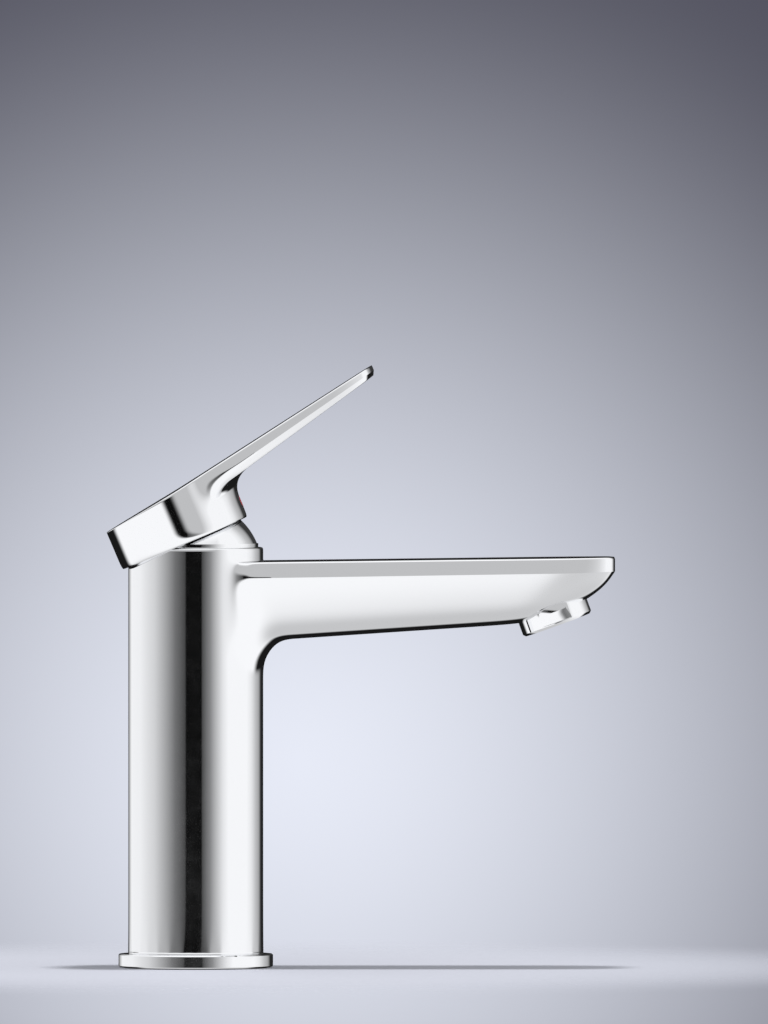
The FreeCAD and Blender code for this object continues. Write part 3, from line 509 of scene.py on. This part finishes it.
def index_mark(name, side, material):
    """Half of the round hot and cold mark, on the front of the hub under the blade."""
    hub = millimetres(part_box("lever_handle")[1]).y
    radius, height, sunk = 2.4, 14.8, 0.95
    bm = bmesh.new()
    bmesh.ops.create_circle(bm, segments=48, radius=radius, cap_ends=True)
    bmesh.ops.bisect_plane(bm, geom=bm.verts[:] + bm.edges[:] + bm.faces[:], plane_co=(0, 0.04 * side, 0),
                           plane_no=(0, -side, 0), clear_outer=True)
    up = bmesh.ops.extrude_face_region(bm, geom=bm.faces[:])["geom"]
    bmesh.ops.translate(bm, vec=(0, 0, 1.0), verts=[g for g in up if isinstance(g, bmesh.types.BMVert)])
    bmesh.ops.recalc_face_normals(bm, faces=bm.faces)
    edge = [e for e in bm.edges if all(v.co.z > 0.9 for v in e.verts)]
    bmesh.ops.bevel(bm, geom=edge, offset=0.16, segments=3, profile=0.5, affect="EDGES", material=-1)
    front = Matrix.Translation((hub - sunk, 0, height)) @ Matrix.Rotation(math.radians(90), 4, "Y")
    bmesh.ops.transform(bm, matrix=lifted() @ front, verts=bm.verts)
    piece = mesh_object(name, bm, "lever", material, smooth_angle=40)
    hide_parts(name.replace("enamel", "mark"))


# ---------------------------------------------------------------- studio

# Brightness of the room by degrees round the object: 0 is the camera's side, and plus is to its right.
BEHIND_LEFT = [(-180, 0.02), (-168, 0.07)]
LEFT_WALL = [(-143, 0.96), (-110, 0.93), (-75, 0.69), (-35, 0.17), (-18, 0.06)]
BLACK_CARD = [(-16, 0.004), (10, 0.004)]
RIGHT_WALL = [(11, 0.06), (25, 0.25), (48, 0.84), (58, 1.0), (98, 1.0), (110, 0.87), (125, 0.56), (137, 0.4)]
BEHIND_RIGHT = [(148, 0.02), (180, 0.02)]

# The camera, in metres. Its sensor is in millimetres.
LOOK_AT = Vector((0.0614, 0, 0.1486))
VIEW_HEIGHT = 0.334
CAMERA_AWAY = 10
CAMERA_RISE = math.radians(1)
SENSOR = 36

# One pool of light on the backdrop. It dims between two distances from its middle (the first is below
# 0, so it dims from the very middle), and far outside the camera's view it turns pale again. Distances
# are in metres at the object.
LIT_AT = Vector((0.034, 0, 0.0677))
POOL = (-0.02, 0.3)
SURROUND = (0.4, 1.6)
LIT = (0.81, 0.84, 0.94, 1.0)
DIM = (0.09, 0.09, 0.12, 1.0)
PALE = paint(222, 224, 234)


def camera_place():
    return LOOK_AT + CAMERA_AWAY * Vector((0, -math.cos(CAMERA_RISE), math.sin(CAMERA_RISE)))


def mirrored_room(tree, way):
    """Brightness in each direction: the walls and the card, with a ceiling and a ground that fade in."""
    parts = add(tree, "ShaderNodeSeparateXYZ", Vector=way)
    x, y, z = parts.outputs
    turn = maths(tree, "ARCTAN2", x, maths(tree, "MULTIPLY", y, -1.0))
    turn = maths(tree, "ADD", maths(tree, "DIVIDE", turn, 2 * math.pi), 0.5)
    panels = BEHIND_LEFT + LEFT_WALL + BLACK_CARD + RIGHT_WALL + BEHIND_RIGHT
    ring = ramp(tree, turn, [(degrees / 360 + 0.5, grey(level)) for degrees, level in panels])
    front = fade(tree, y, 0.2, 0.75, 1.0, 0.08)
    upper = maths(tree, "MAXIMUM", ring, maths(tree, "MULTIPLY", fade(tree, z, 0.45, 0.9, 0.56, 1.1), front))
    below = fade(tree, y, 0.4, 0.64, 1.0, 0.01)
    lower = maths(tree, "MULTIPLY", fade(tree, z, -0.4, -1.0, 1.02, 0.6), below)
    walls = blend(tree, fade(tree, z, 0.025, 0.11), ring, upper)
    return blend(tree, fade(tree, z, -0.03, -0.1), walls, lower)


def backdrop(tree, way):
    """One soft pool of light on the wall behind."""
    aim = (LIT_AT - camera_place()).normalized()
    apart = add(tree, "ShaderNodeVectorMath", {"operation": "DISTANCE"}, i0=way, i1=aim).outputs["Value"]
    away = maths(tree, "MULTIPLY", apart, CAMERA_AWAY)
    pool = blend_colours(tree, fade(tree, away, *POOL), LIT, DIM)
    return blend_colours(tree, fade(tree, away, *SURROUND), pool, PALE)


def studio_light():
    """The room that the chrome mirrors, and the backdrop with its painted pool of light that the camera sees
    instead of it.
    """
    world = bpy.data.worlds.new("Studio")
    bpy.context.scene.world = world
    world.use_nodes = True
    tree = world.node_tree
    tree.nodes.clear()
    way = add(tree, "ShaderNodeTexCoord").outputs["Generated"]
    soft = add(tree, "ShaderNodeBackground", Color=(0.98, 0.985, 1.0, 1.0), Strength=mirrored_room(tree, way))
    plain = add(tree, "ShaderNodeBackground", Color=backdrop(tree, way))
    seen = add(tree, "ShaderNodeLightPath").outputs["Is Camera Ray"]
    both = add(tree, "ShaderNodeMixShader", i0=seen, i1=soft.outputs[0], i2=plain.outputs[0])
    add(tree, "ShaderNodeOutputWorld", Surface=both.outputs[0])


def camera():
    data = bpy.data.cameras.new("Camera")
    data.lens = SENSOR * CAMERA_AWAY / VIEW_HEIGHT
    data.clip_end = 100
    eye = bpy.data.objects.new("Camera", data)
    bpy.context.scene.collection.objects.link(eye)
    eye.location = camera_place()
    eye.rotation_euler = (math.radians(90) - CAMERA_RISE, 0, 0)
    bpy.context.scene.camera = eye


def floor():
    """A pale round of floor that fades out into the backdrop."""
    bm = bmesh.new()
    bmesh.ops.create_circle(bm, segments=96, radius=0.6, cap_ends=True)
    mesh = bpy.data.meshes.new("floor")
    bm.to_mesh(mesh)
    bm.free()
    ground = bpy.data.objects.new("floor", mesh)
    bpy.context.scene.collection.objects.link(ground)
    material = bpy.data.materials.new("pale_floor")
    material.use_nodes = True
    tree = material.node_tree
    shader = tree.nodes["Principled BSDF"]
    shader.inputs["Roughness"].default_value = 0.7
    shader.inputs["Specular IOR Level"].default_value = 0.2
    shader.inputs["Base Color"].default_value = paint(172, 174, 183)
    place = add(tree, "ShaderNodeTexCoord").outputs["Object"]
    out = add(tree, "ShaderNodeVectorMath", {"operation": "LENGTH"}, i0=place).outputs["Value"]
    above = maths(tree, "SUBTRACT", 1.0, add(tree, "ShaderNodeNewGeometry").outputs["Backfacing"])
    plug(tree, shader, "Alpha", maths(tree, "MULTIPLY", fade(tree, out, 0.09, 0.3, 1.0, 0.0), above))
    mesh.materials.append(material)
    ground.visible_glossy = False


def overhead_lamp():
    data = bpy.data.lights.new("Overhead", "AREA")
    data.shape, data.size, data.energy = "DISK", 0.12, 16
    lamp = bpy.data.objects.new("Overhead", data)
    bpy.context.scene.collection.objects.link(lamp)
    lamp.location = (0.11, 0.0, 1.3)
    lamp.visible_glossy = False


# ---------------------------------------------------------------- finishes

bpy.context.scene.view_settings.view_transform = "Standard"
camera()
studio_light()
floor()
overhead_lamp()

CHROME = (0.94, 0.945, 0.955, 1.0)
chrome = finish("polished_chrome", CHROME, metal=1.0, rough=0.045, rough_spread=0.012, grain=260, bump=0.0,
                tint=0.015)
finishes = {
    "chrome_trim": chrome,
    "rubber_seal": finish("seal_rubber", paint(32, 32, 34), rough=0.6, grain=2600, bump=0.25, tint=0.2),
    "cartridge_plastic": finish("cartridge_plastic", paint(214, 214, 208), rough=0.42, grain=3200, bump=0.12),
    "carrier_plastic": finish("carrier_plastic", paint(62, 92, 130), rough=0.4, grain=3200, bump=0.12),
    "ceramic": finish("disc_ceramic", paint(236, 232, 224), rough=0.16, grain=4200, bump=0.04, coat=0.3),
    "brass": finish("turned_brass", paint(212, 172, 96), metal=1.0, rough=0.24, grain=900, bump=0.1,
                    stretch=(1, 1, 9)),
    "steel": finish("bright_steel", paint(196, 198, 202), metal=1.0, rough=0.22, grain=1200, bump=0.08),
    "stop_plastic": finish("stop_plastic", paint(196, 52, 40), rough=0.4, grain=3200, bump=0.12),
    "aerator_plastic": finish("aerator_plastic", paint(206, 208, 210), rough=0.45, grain=3000, bump=0.12),
    "strainer": finish("strainer_mesh", paint(176, 178, 182), metal=1.0, rough=0.3, grain=2400, bump=0.3),
    "index_red": finish("red_enamel", paint(196, 30, 34), rough=0.22, grain=2600, bump=0.03, coat=0.5),
    "index_blue": finish("blue_enamel", paint(32, 78, 176), rough=0.22, grain=2600, bump=0.03, coat=0.5),
}
for node in frame["nodes"].values():
    held = node.material_slots[0].material
    if held and held.name.split(".")[0] in finishes:
        node.material_slots[0].material = finishes[held.name.split(".")[0]]

body_shell(chrome)
lever_shell(chrome)
aerator_ring(chrome)
foot_ring(chrome)
index_mark("hot_enamel", -1, finishes["index_red"])
index_mark("cold_enamel", 1, finishes["index_blue"])
